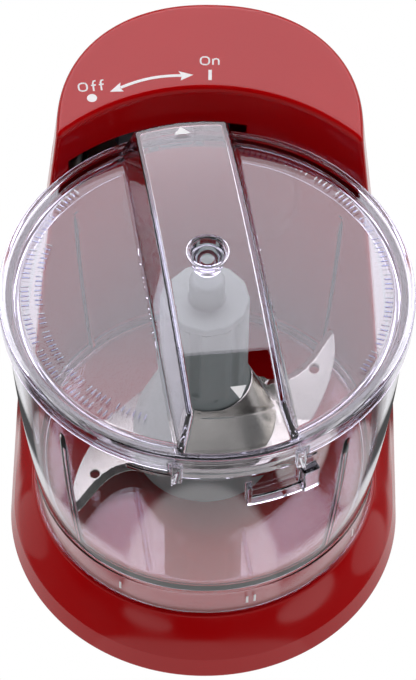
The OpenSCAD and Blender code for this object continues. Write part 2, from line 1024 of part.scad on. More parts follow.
// Clear lid: disc, skirt, locating ring, hollow grip, rear lug and front tab
module lid() {
    color([0.88, 0.9, 0.94, 0.35])
        on_axis()
            rotate([0, 0, grip_rest])
                difference() {
                    union() {
                        rotate_extrude($fn = 144)
                            polygon([
                                [0, lid_z - lid_t], [63.4, lid_z - lid_t], [63.6, lid_z - 10.3],
                                [64.8, lid_z - 10.3], [65, lid_z - lid_t],
                                [skirt_in, lid_z - lid_t], [skirt_in, skirt_z],
                                [lid_r, skirt_z], [lid_r, lid_z - 1.2],
                                [lid_r - 0.4, lid_z - 0.4], [lid_r - 1.2, lid_z], [0, lid_z]
                            ]);
                        grip_solid(0, lid_z - 1);
                        arc_wall(lug_r, lid_r - 1, -lug_half, lug_half, 129.2, 134);
                        arc_wall(lid_r, skirt_in, 180 - tab_half, 180 + tab_half, tab_z, 130);
                        for (s = [-1, 1])
                            arc_wall(lid_r + 1, skirt_in, 180 + s * tab_half - 1.5,
                                     180 + s * tab_half + 1.5, tab_z, 133.4);
                    }
                    grip_solid(grip_t, lid_z - lid_t - 1);
                    rod(cup_bore, 140, 170);
                }
}

// Clear cup in the middle of the grip that steadies the neck of the hub
module lid_bearing_cup() {
    color([0.9, 0.92, 0.95, 0.5])
        on_axis()
            rotate_extrude()
                polygon([
                    [0, neck_z + 0.4], [5.2, neck_z + 0.4], [6.2, grip_z - 4], [6.2, grip_z + 0.3],
                    [7.4, grip_z + 0.3], [7.4, grip_z + 1], [5.6, grip_z + 1],
                    [2, neck_z + 3.4], [0, neck_z + 3.4]
                ]);
}

housing();
bottom_plate();
feet();
case_screws();
cord_gland();
cord_clamp();
clamp_screws();
motor_can();
motor_magnets();
motor_end_bell();
motor_brushes();
motor_bushes();
motor_bracket();
motor_screws();
bracket_grommets();
bracket_screws();
armature_core();
armature_windings();
commutator();
motor_shaft();
motor_pulley();
drive_belt();
driven_pulley();
spindle_shaft();
spindle_housing();
spindle_bushes();
spindle_washer();
spindle_circlip();
spindle_seal();
spindle_screws();
drive_coupling();
interlock_slider();
microswitch();
switch_plunger();
switch_screws();
control_board();
board_parts();
board_screws();
wiring();
bowl();
blade_hub();
hub_cap();
hub_drive_insert();
blade_lower();
blade_upper();
lid();
lid_bearing_cup();
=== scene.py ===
"""Visual model of a compact food processor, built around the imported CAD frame.

Shapes are written in millimetres about the bowl's own axis and moved into the frame, which is in metres.
Each moulded shape is a field: a function of the place that is negative inside the shape. mesh_field turns
it into a mesh.
"""

import json
import math

import bpy
import numpy as np
from mathutils import Matrix, Vector


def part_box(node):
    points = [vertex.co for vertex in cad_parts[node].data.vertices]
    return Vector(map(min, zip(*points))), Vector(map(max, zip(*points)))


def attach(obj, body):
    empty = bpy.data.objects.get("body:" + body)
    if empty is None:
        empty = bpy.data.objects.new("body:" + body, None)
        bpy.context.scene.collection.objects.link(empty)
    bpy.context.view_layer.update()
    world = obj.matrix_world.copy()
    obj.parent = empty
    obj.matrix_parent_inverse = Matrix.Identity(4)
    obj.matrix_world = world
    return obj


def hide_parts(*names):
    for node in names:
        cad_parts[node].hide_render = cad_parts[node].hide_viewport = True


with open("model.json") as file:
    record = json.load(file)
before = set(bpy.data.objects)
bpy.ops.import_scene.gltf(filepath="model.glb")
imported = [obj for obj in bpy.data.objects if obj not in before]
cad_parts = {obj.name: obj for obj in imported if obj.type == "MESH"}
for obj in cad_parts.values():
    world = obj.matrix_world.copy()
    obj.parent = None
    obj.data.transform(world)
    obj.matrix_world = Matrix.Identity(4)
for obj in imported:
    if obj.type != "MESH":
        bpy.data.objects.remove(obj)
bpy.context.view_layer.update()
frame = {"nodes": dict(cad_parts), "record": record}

MM = 0.001
shaft_low, shaft_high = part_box("spindle_shaft")
AXIS = Vector(((shaft_low[0] + shaft_high[0]) / 2, (shaft_low[1] + shaft_high[1]) / 2, 0))

# ---------------------------------------------------------------- dimensions
BASE_R, BASE_BACK, FOOT = 71.0, 120.0, 1.5
CREASE_R, CREASE_Z = 69.3, 10.2
DECK_R, DECK_Z, SLOPE_BULGE = 61.9, 28.0, 0.3
DRUM_R, DRUM_Z = 58.9, 40.0
PLAN_Y, PLAN_POWER = 59.0, 2.2
TOWER_Z, TOWER_HALF, TOWER_BACK = 154.5, 52.5, 111.0
TOWER_TILT = math.radians(3)
BAY_R, SHELL = 72.5, 2.5
LID_R, LID_Z, LID_T = 70.0, 136.3, 2.0
GRIP_REST = 9.8
GRIP_TOP, GRIP_DROP = 157.3, 7.0
FLOOR_Z, FLOOR_T, RIM_Z, BOWL_T = 42.0, 2.5, 134.0, 2.2
HUB_R, HUB_TOP, HUB_Z = 14.6, 128.0, 131.0

# Sectors are a middle and a half width in degrees anticlockwise from +Y, heights a middle and a half.
SLOT_AT, SLOT_HALF, SLOT_Z, SLOT_RISE = 16, 26, 131.3, 5.3
TRACK_HALF, TRACK_Z, TRACK_RISE, TRACK_WALL = 36, 132, 5.9, 1.3
GLAND_X, GLAND_Z, GLAND_R, GLAND_BORE, GLAND_RECESS = 42, 17, 9, 6.03, 8.3
DECK_HOLE_R = 12.3
SKIRT_R, SKIRT_Z = 59.2, 28.3
FLOOR_R, BOWL_FLARE, FLARE_POWER = 61, 6.8, 1.8
TUBE_R, TUBE_Z, TUBE_TAPER = 8.6, 100, 0.6
RIB_AT, RIB_HALF, RIB_PROUD, RIB_Z = (45, 135), 0.9, 1.3, 117
CATCH_R = 66
LID_SKIRT_R, LID_SKIRT_Z = 68.35, 128.4
RING_R, RING_HALF, RING_Z = 64.2, 0.7, 126
LUG_R, LUG_Z, LUG_RISE, LUG_HALF = 72.1, 131.6, 2.4, 4.5
TAB_Z, TAB_TOP, TAB_HALF = 119, 130, 17
HUB_FOOT, HUB_BORE = 46.5, 9.25
NECK_R, NECK_Z = 6, 141.6
BLADE_ROOT, BLADE_BORE, GRIND_W = 17, 9.85, 2.6
EDGE_T, GROUND_T = 0.35, 1.25
BLADE_HOLE, BLADE_HOLE_R = (-38.5, -17.2), 1.7
MARK_R, MARK_W, TICK_R = 79.0, 0.62, 61.15


# ---------------------------------------------------------------- field helpers
def round_max(a, b, r):
    return np.minimum(np.maximum(a, b), -r) + np.hypot(np.maximum(a + r, 0), np.maximum(b + r, 0))


def round_min(a, b, r):
    return np.maximum(np.minimum(a, b), r) - np.hypot(np.maximum(r - a, 0), np.maximum(r - b, 0))


def smooth(v, low, high):
    t = np.clip((v - low) / (high - low), 0, 1)
    return t * t * (3 - 2 * t)


def turned(x, y, degrees):
    """The same point in a frame turned anticlockwise by degrees."""
    c, s = math.cos(math.radians(degrees)), math.sin(math.radians(degrees))
    return x * c + y * s, y * c - x * s


def angle_gap(x, y, centre, half):
    """Distance past the ends of a sector, centre and half in degrees anticlockwise from +Y."""
    lx, ly = turned(x, y, centre)
    r = np.hypot(lx, ly)
    a = np.abs(np.arctan2(-lx, ly)) - math.radians(half)
    return a * r


def around(*spans):
    """Angles round the circle in degrees: the first number is the usual step, then (centre, half, step)."""
    step, rest = spans[0], spans[1:]
    marks = list(np.arange(0, 360, step))
    for centre, half, fine in rest:
        low, high = centre - half, centre + half
        marks = [m for m in marks if not (low - fine / 2 < (m - low) % 360 + low < high + fine / 2)]
        marks += list(np.arange(low, high + 1e-6, fine) % 360)
    return np.array(sorted(set(np.round(marks, 5))))


def levels(*runs):
    """Grid levels from (start, end, step) runs."""
    out = []
    for low, high, step in runs:
        count = max(1, round((high - low) / step))
        out += [low + (high - low) * i / count for i in range(count)]
    out.append(runs[-1][1])
    return np.array(out)


def round_grid(rad, ang, zed):
    """Points of a grid about the axis. Angles run anticlockwise from +Y."""
    r, a, z = np.meshgrid(rad, np.radians(ang), zed, indexing="ij")
    return -r * np.sin(a), r * np.cos(a), z


def box_grid(xs, ys, zs):
    return np.meshgrid(xs, ys, zs, indexing="ij")


# ---------------------------------------------------------------- meshing a field
def mesh_field(field, grid, wraps, steps=4):
    """Surface of field < 0 by surface nets on the grid, each vertex then moved onto the field's zero."""
    pos = np.stack(grid, -1)
    value = field(*grid)
    shape = value.shape
    value = value.astype(np.float64)
    value[np.abs(value) < 1e-9] = 1e-9
    inside = value < 0
    cells = (shape[0] - 1, shape[1] if wraps else shape[1] - 1, shape[2] - 1)
    sums = np.zeros((np.prod(cells), 3))
    counts = np.zeros(np.prod(cells))
    quads = []
    for axis in range(3):
        if axis == 1 and wraps:
            other = np.roll(inside, -1, axis)
            edge = np.argwhere(inside != other)
        else:
            low = [slice(None)] * 3
            high = [slice(None)] * 3
            low[axis], high[axis] = slice(0, -1), slice(1, None)
            edge = np.argwhere(inside[tuple(low)] != inside[tuple(high)])
        far = edge.copy()
        far[:, axis] += 1
        if wraps:
            far[:, 1] %= shape[1]
        a, b = tuple(edge.T), tuple(far.T)
        t = (value[a] / (value[a] - value[b]))[:, None]
        point = pos[a] * (1 - t) + pos[b] * t
        u, v = [d for d in range(3) if d != axis]
        corner = []
        keep = np.ones(len(edge), bool)
        for du, dv in ((0, 0), (1, 0), (1, 1), (0, 1)):
            cell = edge.copy()
            cell[:, u] -= du
            cell[:, v] -= dv
            if wraps:
                cell[:, 1] %= cells[1]
            keep &= np.all((cell >= 0) & (cell < np.array(cells)), axis=1)
            corner.append(cell)
        flat = [np.ravel_multi_index(tuple(c[keep].T), cells) for c in corner]
        point, first = point[keep], inside[a][keep]
        for f in flat:
            counts += np.bincount(f, minlength=len(counts))
            for d in range(3):
                sums[:, d] += np.bincount(f, point[:, d], minlength=len(counts))
        loop = np.stack(flat, 1)
        flip = first if axis != 1 else ~first
        loop[flip] = loop[flip][:, ::-1]
        quads.append(loop)
    used = np.flatnonzero(counts)
    index = np.zeros(len(counts), np.int64)
    index[used] = np.arange(len(used))
    verts = sums[used] / counts[used][:, None]
    faces = index[np.concatenate(quads)]
    if wraps:
        faces = faces[:, ::-1]
    for _ in range(steps):
        grad, here = slope_at(field, verts)
        move = here[:, None] * grad / np.maximum((grad ** 2).sum(1), 1e-6)[:, None]
        length = np.linalg.norm(move, axis=1)
        move *= np.minimum(1, 0.6 / np.maximum(length, 1e-9))[:, None]
        verts = verts - move
    normals = slope_at(field, verts)[0]
    normals /= np.maximum(np.linalg.norm(normals, axis=1), 1e-9)[:, None]
    p = verts[faces]
    area = np.cross(p[:, 2] - p[:, 0], p[:, 3] - p[:, 1])
    if (area * normals[faces[:, 0]]).sum() < 0:
        faces = faces[:, ::-1]
    return verts, faces, normals


def slope_at(field, verts, h=0.02):
    grad = np.empty_like(verts)
    for d in range(3):
        step = np.zeros(3)
        step[d] = h
        grad[:, d] = (field(*(verts + step).T) - field(*(verts - step).T)) / (2 * h)
    return grad, field(*verts.T)


def add_mesh(name, verts, faces, body, material, stands_for=(), normals=None, angle=None):
    """A piece from points in millimetres about the bowl's axis, riding on a body."""
    mesh = bpy.data.meshes.new(name)
    points = np.asarray(verts, float) * MM + np.array(AXIS)
    mesh.from_pydata(points.tolist(), [], [list(map(int, f)) for f in faces])
    mesh.validate()
    mesh.shade_smooth()
    if normals is not None:
        mesh.normals_split_custom_set_from_vertices(np.asarray(normals).tolist())
    if angle is not None:
        mesh.set_sharp_from_angle(angle=math.radians(angle))
    mesh.materials.append(material)
    piece = bpy.data.objects.new(name, mesh)
    bpy.context.scene.collection.objects.link(piece)
    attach(piece, body)
    if stands_for:
        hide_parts(*stands_for)
    return piece


# ---------------------------------------------------------------- materials
class Nodes:
    """A node material with its Principled shader, in object coordinates."""

    def __init__(self, name):
        self.material = bpy.data.materials.new(name)
        self.material.use_nodes = True
        self.tree = self.material.node_tree
        self.tree.nodes.clear()
        self.out = self.add("ShaderNodeOutputMaterial")
        self.shader = self.add("ShaderNodeBsdfPrincipled")
        self.link(self.shader, "BSDF", self.out, "Surface")
        self.coords = self.add("ShaderNodeTexCoord")

    def add(self, kind, **values):
        node = self.tree.nodes.new(kind)
        for key, value in values.items():
            if hasattr(node, key):
                setattr(node, key, value)
            else:
                node.inputs[key.replace("_", " ")].default_value = value
        return node

    def link(self, a, out, b, into):
        self.tree.links.new(a.outputs[out], b.inputs[into])

    def set(self, **values):
        for key, value in values.items():
            self.shader.inputs[key.replace("_", " ")].default_value = value

    def noise(self, scale, detail=2.0, stretch=None, rough=0.5):
        node = self.add("ShaderNodeTexNoise")
        node.inputs["Scale"].default_value = scale
        node.inputs["Detail"].default_value = detail
        node.inputs["Roughness"].default_value = rough
        if stretch:
            mapping = self.add("ShaderNodeMapping")
            mapping.inputs["Scale"].default_value = stretch
            self.link(self.coords, "Object", mapping, "Vector")
            self.link(mapping, "Vector", node, "Vector")
        else:
            self.link(self.coords, "Object", node, "Vector")
        return node

    def ramp(self, source, out, low, high, stops, into):
        node = self.add("ShaderNodeValToRGB")
        a, b = node.color_ramp.elements
        a.position, b.position = low, high
        a.color, b.color = stops
        self.link(source, out, node, "Fac")
        self.link(node, "Color", self.shader, into)

    def span(self, source, out, low, high, into, start=0.0, end=1.0):
        node = self.add("ShaderNodeMapRange")
        node.inputs["From Min"].default_value = start
        node.inputs["From Max"].default_value = end
        node.inputs["To Min"].default_value = low
        node.inputs["To Max"].default_value = high
        self.link(source, out, node, "Value")
        self.link(node, "Result", self.shader, into)

    def bump(self, source, out, strength, distance):
        node = self.add("ShaderNodeBump")
        node.inputs["Strength"].default_value = strength
        node.inputs["Distance"].default_value = distance
        self.link(source, out, node, "Height")
        self.link(node, "Normal", self.shader, "Normal")


def rgb(r, g, b, a=1.0):
    return (r, g, b, a)


def moulded(name, low, high, roughness, scale, grain, **extra):
    """Moulded plastic: slight colour drift, uneven gloss and a fine grain."""
    m = Nodes(name)
    drift = m.noise(18, 3)
    m.ramp(drift, "Fac", 0.35, 0.65, (low, high), "Base Color")
    wear = m.noise(140, 4)
    m.span(wear, "Fac", roughness[0], roughness[1], "Roughness", 0.35, 0.65)
    fine = m.noise(scale, 2)
    m.bump(fine, "Fac", 0.25, grain)
    m.set(**extra)
    return m.material


def metal(name, low, high, roughness, stretch, scale=60, grain=0.00001):
    """Metal with drawn or turned lines along one direction."""
    m = Nodes(name)
    lines = m.noise(scale, 5, stretch, 0.65)
    m.ramp(lines, "Fac", 0.3, 0.7, (low, high), "Base Color")
    m.span(lines, "Fac", roughness[0], roughness[1], "Roughness", 0.3, 0.7)
    m.bump(lines, "Fac", 0.3, grain)
    m.set(Metallic=1.0)
    return m.material


def clear(name, tint, roughness, depth_tint, density):
    """Clear moulded plastic. Shadow and diffuse rays pass with a slight loss, so its inside stays lit."""
    m = Nodes(name)
    m.set(Base_Color=tint, Transmission_Weight=1.0, IOR=1.52)
    haze = m.noise(90, 3)
    m.span(haze, "Fac", roughness[0], roughness[1], "Roughness", 0.35, 0.7)
    wave = m.noise(14, 1)
    m.bump(wave, "Fac", 0.15, 0.00012)
    through = m.add("ShaderNodeBsdfTransparent")
    through.inputs["Color"].default_value = rgb(0.93, 0.935, 0.95)
    path = m.add("ShaderNodeLightPath")
    shaded = m.shader.outputs["BSDF"]
    for ray in ("Is Shadow Ray", "Is Diffuse Ray"):
        mix = m.add("ShaderNodeMixShader")
        m.link(path, ray, mix, "Fac")
        m.tree.links.new(shaded, mix.inputs[1])
        m.tree.links.new(through.outputs["BSDF"], mix.inputs[2])
        shaded = mix.outputs["Shader"]
    m.tree.links.new(shaded, m.out.inputs["Surface"])
    volume = m.add("ShaderNodeVolumeAbsorption")
    volume.inputs["Color"].default_value = depth_tint
    volume.inputs["Density"].default_value = density
    m.link(volume, "Volume", m.out, "Volume")
    return m.material


def red_shell():
    m = Nodes("red_shell")
    drift = m.noise(9, 2)
    m.ramp(drift, "Fac", 0.3, 0.7, (rgb(0.42, 0.0002, 0.0012), rgb(0.47, 0.0004, 0.002)), "Base Color")
    wear = m.noise(60, 4)
    m.span(wear, "Fac", 0.10, 0.16, "Roughness", 0.35, 0.65)
    peel = m.noise(420, 2)
    m.bump(peel, "Fac", 0.08, 0.00001)
    m.set(IOR=1.39)
    return m.material


def frosted():
    m = Nodes("frosted_plastic")
    cloud = m.noise(45, 3)
    m.ramp(cloud, "Fac", 0.35, 0.65, (rgb(0.235, 0.268, 0.245), rgb(0.27, 0.303, 0.28)), "Base Color")
    wear = m.noise(200, 3)
    m.span(wear, "Fac", 0.42, 0.55, "Roughness", 0.35, 0.65)
    grain = m.noise(2600, 2)
    m.bump(grain, "Fac", 0.3, 0.00002)
    m.set(Subsurface_Weight=0.35, Subsurface_Radius=(0.006, 0.006, 0.006), Subsurface_Scale=0.5)
    return m.material


M = {
    "red_shell": red_shell(),
    "clear_plastic": clear("clear_plastic", rgb(0.975, 0.955, 1.0), (0.0, 0.006),
                           rgb(0.34, 0.36, 0.86), 11.0),
    "lid_plastic": clear("lid_plastic", rgb(0.975, 0.955, 1.0), (0.0, 0.006),
                         rgb(0.30, 0.32, 0.84), 15.0),
    "frosted_plastic": frosted(),
    "blade_steel": metal("blade_steel", rgb(0.49, 0.485, 0.42), rgb(0.54, 0.535, 0.47),
                         (0.23, 0.27), (1, 9, 9), 160, 0.0000002),
    "bright_steel": metal("bright_steel", rgb(0.55, 0.55, 0.55), rgb(0.72, 0.72, 0.72),
                          (0.2, 0.35), (1, 1, 12)),
    "zinc_screw": metal("zinc_screw", rgb(0.42, 0.44, 0.47), rgb(0.62, 0.63, 0.66),
                        (0.3, 0.45), (6, 6, 1)),
    "black_plastic": moulded("black_plastic", rgb(0.018, 0.018, 0.02), rgb(0.03, 0.03, 0.032),
                             (0.38, 0.5), 1500, 0.00004),
    "grey_plastic": moulded("grey_plastic", rgb(0.12, 0.125, 0.13), rgb(0.17, 0.175, 0.18),
                            (0.35, 0.5), 1500, 0.00004),
    "white_nylon": moulded("white_nylon", rgb(0.68, 0.68, 0.64), rgb(0.78, 0.78, 0.74),
                           (0.4, 0.55), 1200, 0.00002, Subsurface_Weight=0.1),
    "rubber": moulded("rubber", rgb(0.012, 0.012, 0.012), rgb(0.022, 0.022, 0.022),
                      (0.6, 0.78), 2200, 0.00005),
    "bronze": metal("bronze", rgb(0.42, 0.24, 0.10), rgb(0.56, 0.34, 0.16), (0.35, 0.5), (1, 1, 5)),
    "copper": metal("copper", rgb(0.62, 0.22, 0.10), rgb(0.80, 0.36, 0.20), (0.25, 0.4), (1, 1, 40)),
    "iron": metal("iron", rgb(0.20, 0.20, 0.205), rgb(0.34, 0.34, 0.35), (0.35, 0.55), (1, 1, 30)),
    "alloy": metal("alloy", rgb(0.50, 0.51, 0.52), rgb(0.66, 0.67, 0.68), (0.4, 0.55), (2, 2, 2)),
    "circuit_board": moulded("circuit_board", rgb(0.010, 0.09, 0.035), rgb(0.02, 0.14, 0.055),
                             (0.25, 0.4), 700, 0.00002),
    "electrical": moulded("electrical", rgb(0.03, 0.03, 0.045), rgb(0.09, 0.08, 0.07),
                          (0.3, 0.5), 900, 0.00002),
    "white_print": moulded("white_print", rgb(0.78, 0.76, 0.78), rgb(0.86, 0.84, 0.86),
                           (0.35, 0.5), 2400, 0.00001),
}


# ---------------------------------------------------------------- housing
def plan(x, y, half, back):
    front = np.hypot(x, np.minimum(y, 0)) - half
    v = np.maximum(y - PLAN_Y, 0) / (back - PLAN_Y)
    u = np.abs(x) / half
    rear = half * (u ** PLAN_POWER + v ** PLAN_POWER) ** (1 / PLAN_POWER) - half
    return np.where(y > PLAN_Y, rear, front)


def tower_top(y):
    return TOWER_Z + (y - BAY_R) * math.tan(TOWER_TILT)


def outline(x, y, z):
    """Distance outside the shell's side walls."""
    t = np.clip((z - CREASE_Z) / (DECK_Z - CREASE_Z), 0, 1)
    slope = CREASE_R + (DECK_R - CREASE_R) * t + 4 * SLOPE_BULGE * t * (1 - t)
    band = CREASE_R + (BASE_R - CREASE_R) * (CREASE_Z - z) / (CREASE_Z - FOOT)
    up = (z - CREASE_Z) / (TOWER_Z - 2 - CREASE_Z)
    flank = CREASE_R + (TOWER_HALF - CREASE_R) * up
    half = np.where(z < CREASE_Z, band, slope + (flank - slope) * smooth(y, 2, 30))
    back_low = BASE_BACK - (BASE_R - band) * 1.4 / 1.7
    back = np.where(z < CREASE_Z, back_low, BASE_BACK - 1.4 + (TOWER_BACK - BASE_BACK + 1.4) * up)
    return plan(x, y, half, back)


def housing_solid(x, y, z):
    """Base, tower and drum as one solid, before the inside is taken out."""
    r = np.hypot(x, y)
    body = outline(x, y, z)
    top = (z - TOWER_Z) * math.cos(TOWER_TILT) - (y - BAY_R) * math.sin(TOWER_TILT)
    body = round_max(body, top, 2.0)
    bay = round_max(r - BAY_R, DECK_Z - z, 0.8)
    body = round_max(body, -bay, 0.7 + 1.9 * smooth(z, DECK_Z + 2, 60))
    drum = round_max(r - DRUM_R, z - DRUM_Z, 1.2)
    return round_min(body, drum, 0.8)


def housing_field(x, y, z):
    """Shell with the cord gland's boss, the hole in the deck, the slot and the slider's track behind it."""
    r = np.hypot(x, y)
    solid = housing_solid(x, y, z)
    shell = round_max(solid, FOOT - z, 0.6)
    shell = np.maximum(shell, -(solid + SHELL))
    gland = np.hypot(x - GLAND_X, z - GLAND_Z)
    boss = np.maximum(np.maximum(gland - GLAND_R, 97 - y), solid + 0.5)
    shell = np.minimum(shell, boss)
    shell = np.maximum(shell, -np.maximum(gland - GLAND_BORE, 88 - y))
    shell = np.maximum(shell, -np.maximum(gland - GLAND_RECESS, 108.9 - y))
    hole = np.maximum(r - DECK_HOLE_R, 25 - z)
    shell = np.maximum(shell, -hole)
    slot = np.maximum(angle_gap(x, y, SLOT_AT, SLOT_HALF), np.abs(z - SLOT_Z) - SLOT_RISE)
    slot = np.maximum(slot, np.maximum(70 - r, r - 84))
    track = np.maximum(angle_gap(x, y, SLOT_AT, TRACK_HALF), np.abs(z - TRACK_Z) - TRACK_RISE)
    track = np.maximum(np.maximum(track, solid + TRACK_WALL), np.maximum(74.9 - r, r - 86))
    shell = np.maximum(shell, -track)
    return round_max(shell, -slot, 0.4)


def plan_reach(ang, zed):
    """Radius of the side walls at each angle and height, by halving."""
    a, z = np.meshgrid(np.radians(ang), zed, indexing="ij")
    low, high = np.full(a.shape, 40.0), np.full(a.shape, 140.0)
    for _ in range(26):
        r = (low + high) / 2
        inside = outline(-r * np.sin(a), r * np.cos(a), z) < 0
        low, high = np.where(inside, r, low), np.where(inside, high, r)
    return low


def housing_grid():
    """Grid about the axis whose outer lines follow the tower's outline."""
    ang = around(1.6, (339.1, 5.4, 0.5), (350, 1.6, 0.4), (42, 1.6, 0.4), (54, 8, 0.8), (306, 8, 0.8))
    zed = levels((0.4, 3, 0.5), (3, 9, 1.5), (9, 12, 0.4), (12, 24, 1.5), (24, 31, 0.5), (31, 38, 1.4),
                 (38, 42, 0.5), (42, 122, 4), (122, 142, 0.8), (142, 149, 1.6), (149, 158, 0.45))
    fixed = levels((11, 13, 1), (13, 55, 3), (55, 76, 0.8))
    share = np.concatenate([np.arange(1, 15) / 16, 1 - np.array([1.6, 1.0, 0.5, 0.0, -0.5, -1.2]) / 40])
    a, z = np.meshgrid(np.radians(ang), zed, indexing="ij")
    reach = np.maximum(plan_reach(ang, zed), 79)
    rows = [np.full(a.shape, r) for r in fixed]
    rows += [76 + (reach - 76) * min(t, 1.0) + max(t - 1.0, 0) * 40 for t in share]
    r = np.stack(rows)
    return -r * np.sin(a), r * np.cos(a), np.broadcast_to(z, r.shape)


verts, faces, normals = mesh_field(housing_field, housing_grid(), True)
add_mesh("housing_shell", verts, faces, "base", M["red_shell"], ["housing"], normals)


# ---------------------------------------------------------------- bowl
def bowl_r(z):
    """Outer radius of the bowl, which widens upward in a curve."""
    up = 1 - np.clip((z - FLOOR_Z) / (RIM_Z - FLOOR_Z), 0, 1)
    return FLOOR_R + BOWL_FLARE * (1 - up ** FLARE_POWER)


def bowl_field(x, y, z):
    """Wall, floor, skirt and tube of the bowl, four ribs inside, and the ledge and catch at its front."""
    r = np.hypot(x, y)
    wall = bowl_r(z)
    outer = round_max(r - wall - 0.2 * (z < FLOOR_Z) * smooth(FLOOR_Z - z, 0, 1.5), z - RIM_Z, 0.8)
    cave = round_max(r - wall + BOWL_T, FLOOR_Z + FLOOR_T - z, 3.5)
    under = round_max(r - SKIRT_R, z - FLOOR_Z, 0.6)
    shell = np.maximum(np.maximum(outer, -cave), -under)
    shell = round_max(shell, SKIRT_Z - z, 0.5)
    tube = r - TUBE_R + TUBE_TAPER * (z - 44.5) / 55.5
    tube = np.maximum(tube, np.maximum(z - TUBE_Z, FLOOR_Z - z))
    shell = round_min(shell, tube, 1.5)
    for a in RIB_AT:
        across = turned(x, y, a)[0]
        proud = RIB_PROUD * np.clip((RIB_Z - z) / 9, 0, 1)
        rib = round_max(np.abs(across) - RIB_HALF, wall - BOWL_T - proud - r, 0.5)
        rib = np.maximum(np.maximum(rib, r - wall + 1), np.maximum(z - RIB_Z, 43.2 - z))
        shell = round_min(shell, rib, 0.4)

    def stop(reach, mid, rise, edge):
        return round_max(np.maximum(CATCH_R - r, r - reach), np.abs(z - mid) - rise, edge)

    ledge = np.maximum(stop(68.1, 122.5, 0.9, 0.3), angle_gap(x, y, 185.5, 27.5))
    post = round_max(stop(70, 113.2, 5.2, 0.4), angle_gap(x, y, 192.6, 0.65), 0.3)
    bar = np.maximum(stop(70, 108.7, 0.7, 0.3), angle_gap(x, y, 201, 9))
    block = round_max(stop(70.6, 112.95, 5.45, 0.6), angle_gap(x, y, 210.5, 2.5), 0.5)
    catch = np.minimum(np.minimum(post, bar), np.minimum(block, ledge))
    shell = round_min(shell, catch, 0.3)
    return np.maximum(shell, 6.4 - r)


def bowl_grid():
    scale = levels((0.09, 0.17, 0.012), (0.17, 0.86, 0.045), (0.86, 0.93, 0.01), (0.93, 1.065, 0.0065))
    ang = around(1.5, (45, 1.6, 0.4), (135, 1.6, 0.4), (225, 1.6, 0.4), (315, 1.6, 0.4),
                 (192.6, 1.2, 0.3), (210.5, 3.5, 0.5), (158, 1, 0.5))
    zed = levels((27.6, 30, 0.5), (30, 40, 2), (40, 49, 0.5), (49, 97, 4), (97, 101, 0.8),
                 (101, 107, 1.5), (107, 110, 0.4), (110, 117, 1), (117, 119, 0.5), (119, 121, 1),
                 (121, 124, 0.4), (124, 132, 2), (132, 134.8, 0.35))
    s, a, z = np.meshgrid(scale, np.radians(ang), zed, indexing="ij")
    r = s * bowl_r(z)
    return -r * np.sin(a), r * np.cos(a), z


verts, faces, normals = mesh_field(bowl_field, bowl_grid(), True)
add_mesh("bowl_clear", verts, faces, "bowl", M["clear_plastic"], ["bowl"], normals)


# ---------------------------------------------------------------- lid
def grip_crown(y):
    return GRIP_TOP - GRIP_DROP * (y / 62) ** 2


def grip(x, y, z, inset, edge):
    """Arched bar across the lid, inset inwards, with its upper edges rounded."""
    crown = grip_crown(y)
    low = LID_Z - 1
    side = np.abs(x) - (20 - 4 * (z - low) / (crown - low)) + inset
    end = np.hypot(x, y) - (68 - 6 * (z - low) / (150.3 - low)) + inset
    wall = round_max(side, end, 1.0)
    return round_max(wall, z - crown + inset, edge)


def lid_field(x, y, z):
    """Plate, skirt, locating ring, hollow grip, rear lug, and the front tab with a rib at each end.
    The grip's hollow widens downward, so it also cuts the tab short between its ribs."""
    x, y = turned(x, y, GRIP_REST)
    r = np.hypot(x, y)
    plate = round_max(r - LID_R, z - LID_Z, 1.2)
    plate = np.maximum(plate, LID_Z - LID_T - z)
    skirt = np.maximum(round_max(r - LID_R, z - LID_Z, 1.2), LID_SKIRT_R - r)
    skirt = round_max(skirt, LID_SKIRT_Z - z, 0.5)
    ring = round_max(np.abs(r - RING_R) - RING_HALF, RING_Z - z, 0.4)
    ring = np.maximum(ring, z - LID_Z + 1)
    disc = round_min(plate, np.minimum(skirt, ring), 0.5)
    outer = np.maximum(grip(x, y, z, 0, 0.9), LID_Z - LID_T - z)
    solid = round_min(disc, outer, 0.5)
    lug = round_max(np.maximum(r - LUG_R, 69 - r), np.abs(z - LUG_Z) - LUG_RISE, 0.4)
    lug = round_max(lug, angle_gap(x, y, 0, LUG_HALF), 0.5)
    tab = round_max(np.maximum(r - LID_R, LID_SKIRT_R - r), TAB_Z - z, 0.4)
    tab = np.maximum(tab, np.maximum(z - TAB_TOP, angle_gap(x, y, 180, TAB_HALF)))
    ends = np.minimum(angle_gap(x, y, 180 - TAB_HALF, 1.5), angle_gap(x, y, 180 + TAB_HALF, 1.5))
    rib = round_max(np.maximum(r - LID_R - 1, LID_SKIRT_R - r), np.abs(z - 126.2) - 7.2, 0.5)
    rib = round_max(rib, ends, 0.4)
    solid = round_min(solid, np.minimum(np.minimum(tab, lug), rib), 0.3)
    inner = grip(x, y, z, 2.0, 0.6)
    solid = round_max(solid, -inner, 0.35)
    cup = np.maximum(r - 6.5, 140 - z)
    return round_max(solid, -cup, 0.3)


